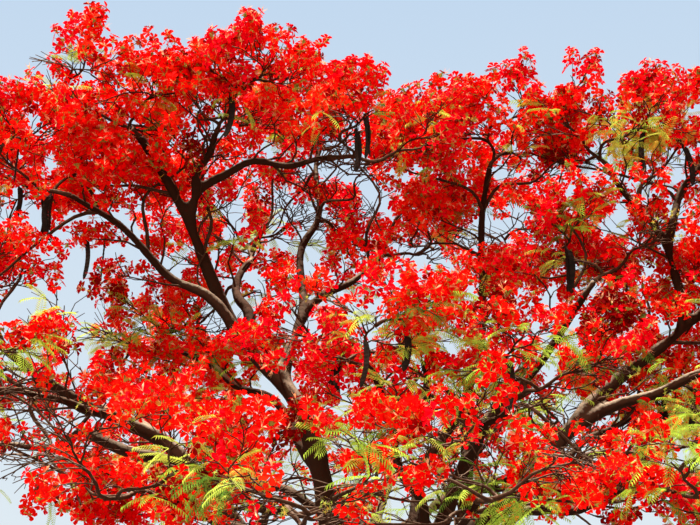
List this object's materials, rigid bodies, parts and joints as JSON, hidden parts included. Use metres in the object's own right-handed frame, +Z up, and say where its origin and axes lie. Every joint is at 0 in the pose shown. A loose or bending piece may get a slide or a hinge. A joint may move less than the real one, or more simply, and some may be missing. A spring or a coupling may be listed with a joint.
{
  "type": "flame tree",
  "caption": "Spreading flame tree in full scarlet bloom: a flared trunk, wide sinuous boughs and a layered umbrella head of blossom, feathery leaves and pods.",
  "frame": {"origin": "middle of the trunk's flat foot, level with the ground", "axes": "+Z up; -Y towards the side from which the picture is taken; +X towards that view's right"},
  "size_m": [10.4157, 8.4409, 8.4468],
  "materials": {
    "bark": "matt grey-brown bark, smooth on the boughs and finely cracked on the trunk",
    "blossom": "soft scarlet petals with sparse green feathery leaves and dark pods"
  },
  "bodies": {
    "root": {"trunk": "bark", "bough_left": "bark", "bough_middle": "bark", "bough_right": "bark", "bough_centre": "bark", "bough_back": "bark", "bough_left_front": "bark", "bough_front_left": "bark", "bough_left_back": "bark", "bough_upper_left": "bark", "bough_middle_top": "bark", "bough_middle_right": "bark", "bough_inner_left": "bark", "bough_upper_back_left": "bark", "bough_inner_top": "bark", "bough_top": "bark", "bough_centre_low": "bark", "bough_right_low": "bark", "bough_top_right": "bark", "bough_upper_right": "bark", "bough_right_top": "bark", "bough_front_right": "bark", "bough_right_inner": "bark", "bough_right_outer": "bark", "bough_right_front": "bark", "bough_front": "bark", "bough_back_left": "bark", "bough_back_right": "bark", "bough_upper_back_right": "bark", "bough_right_back": "bark", "blossom_left": "blossom", "blossom_middle": "blossom", "blossom_right": "blossom", "blossom_centre": "blossom", "blossom_back": "blossom", "blossom_left_front": "blossom", "blossom_front_left": "blossom", "blossom_left_back": "blossom", "blossom_upper_left": "blossom", "blossom_middle_top": "blossom", "blossom_middle_right": "blossom", "blossom_inner_left": "blossom", "blossom_upper_back_left": "blossom", "blossom_inner_top": "blossom", "blossom_top": "blossom", "blossom_centre_low": "blossom", "blossom_right_low": "blossom", "blossom_top_right": "blossom", "blossom_upper_right": "blossom", "blossom_right_top": "blossom", "blossom_front_right": "blossom", "blossom_right_inner": "blossom", "blossom_right_outer": "blossom", "blossom_right_front": "blossom", "blossom_front": "blossom", "blossom_back_left": "blossom", "blossom_back_right": "blossom", "blossom_upper_back_right": "blossom", "blossom_right_back": "blossom"}
  },
  "joints": []
}
